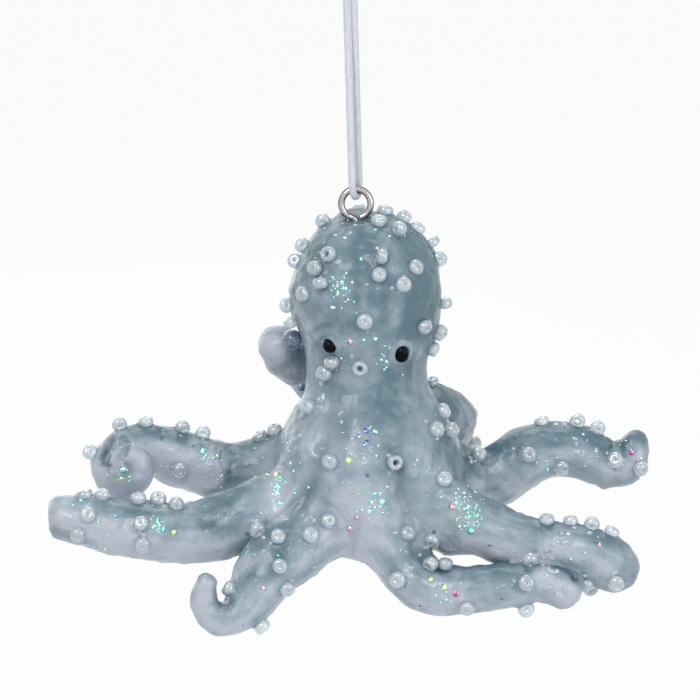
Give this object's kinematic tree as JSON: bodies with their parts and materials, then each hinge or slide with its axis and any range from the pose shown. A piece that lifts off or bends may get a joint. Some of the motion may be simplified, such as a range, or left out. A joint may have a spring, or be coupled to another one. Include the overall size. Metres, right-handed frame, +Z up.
{
  "type": "octopus hanging ornament",
  "caption": "Small hanging octopus figurine of modelled clay set with glass seed beads, hung by a nickel screw eye on a doubled pale thread.",
  "frame": {"origin": "middle of the knot that ties the thread's two ends, where the ornament is held", "axes": "+Z up along the hanging thread, -Y out of the face towards the viewer, +X to the viewer's right"},
  "size_m": [0.0854, 0.0446, 0.0946],
  "materials": {
    "clay": "baked clay under satin varnish, blue-grey wash",
    "eye": "gloss black bead",
    "seed_bead": "clear glass with a pearl sheen",
    "nickel": "nickel plate",
    "thread": "satin cord"
  },
  "bodies": {
    "thread": {"hanging_thread": "thread", "thread_knot": "thread"},
    "figurine": {"head_and_body": "clay", "arm_front_left": "clay", "arm_front_right": "clay", "arm_left": "clay", "arm_right": "clay", "arm_rear_left": "clay", "arm_rear_right": "clay", "arm_back_left": "clay", "arm_back_right": "clay", "eye_rim_left": "clay", "eye_rim_right": "clay", "eye_bead_left": "eye", "eye_bead_right": "eye", "head_beads": "seed_bead", "arm_front_left_beads": "seed_bead", "arm_front_right_beads": "seed_bead", "arm_left_beads": "seed_bead", "arm_right_beads": "seed_bead", "arm_rear_left_beads": "seed_bead", "arm_rear_right_beads": "seed_bead", "arm_back_left_beads": "seed_bead", "arm_back_right_beads": "seed_bead", "screw_eye": "nickel"}
  },
  "joints": [
    {"name": "rock", "type": "hinge", "parent": "thread", "child": "figurine", "pos_m": [0.0009, 0, -0.0295], "axis": [1, 0, 0], "range_deg": [-60, 60]}
  ]
}
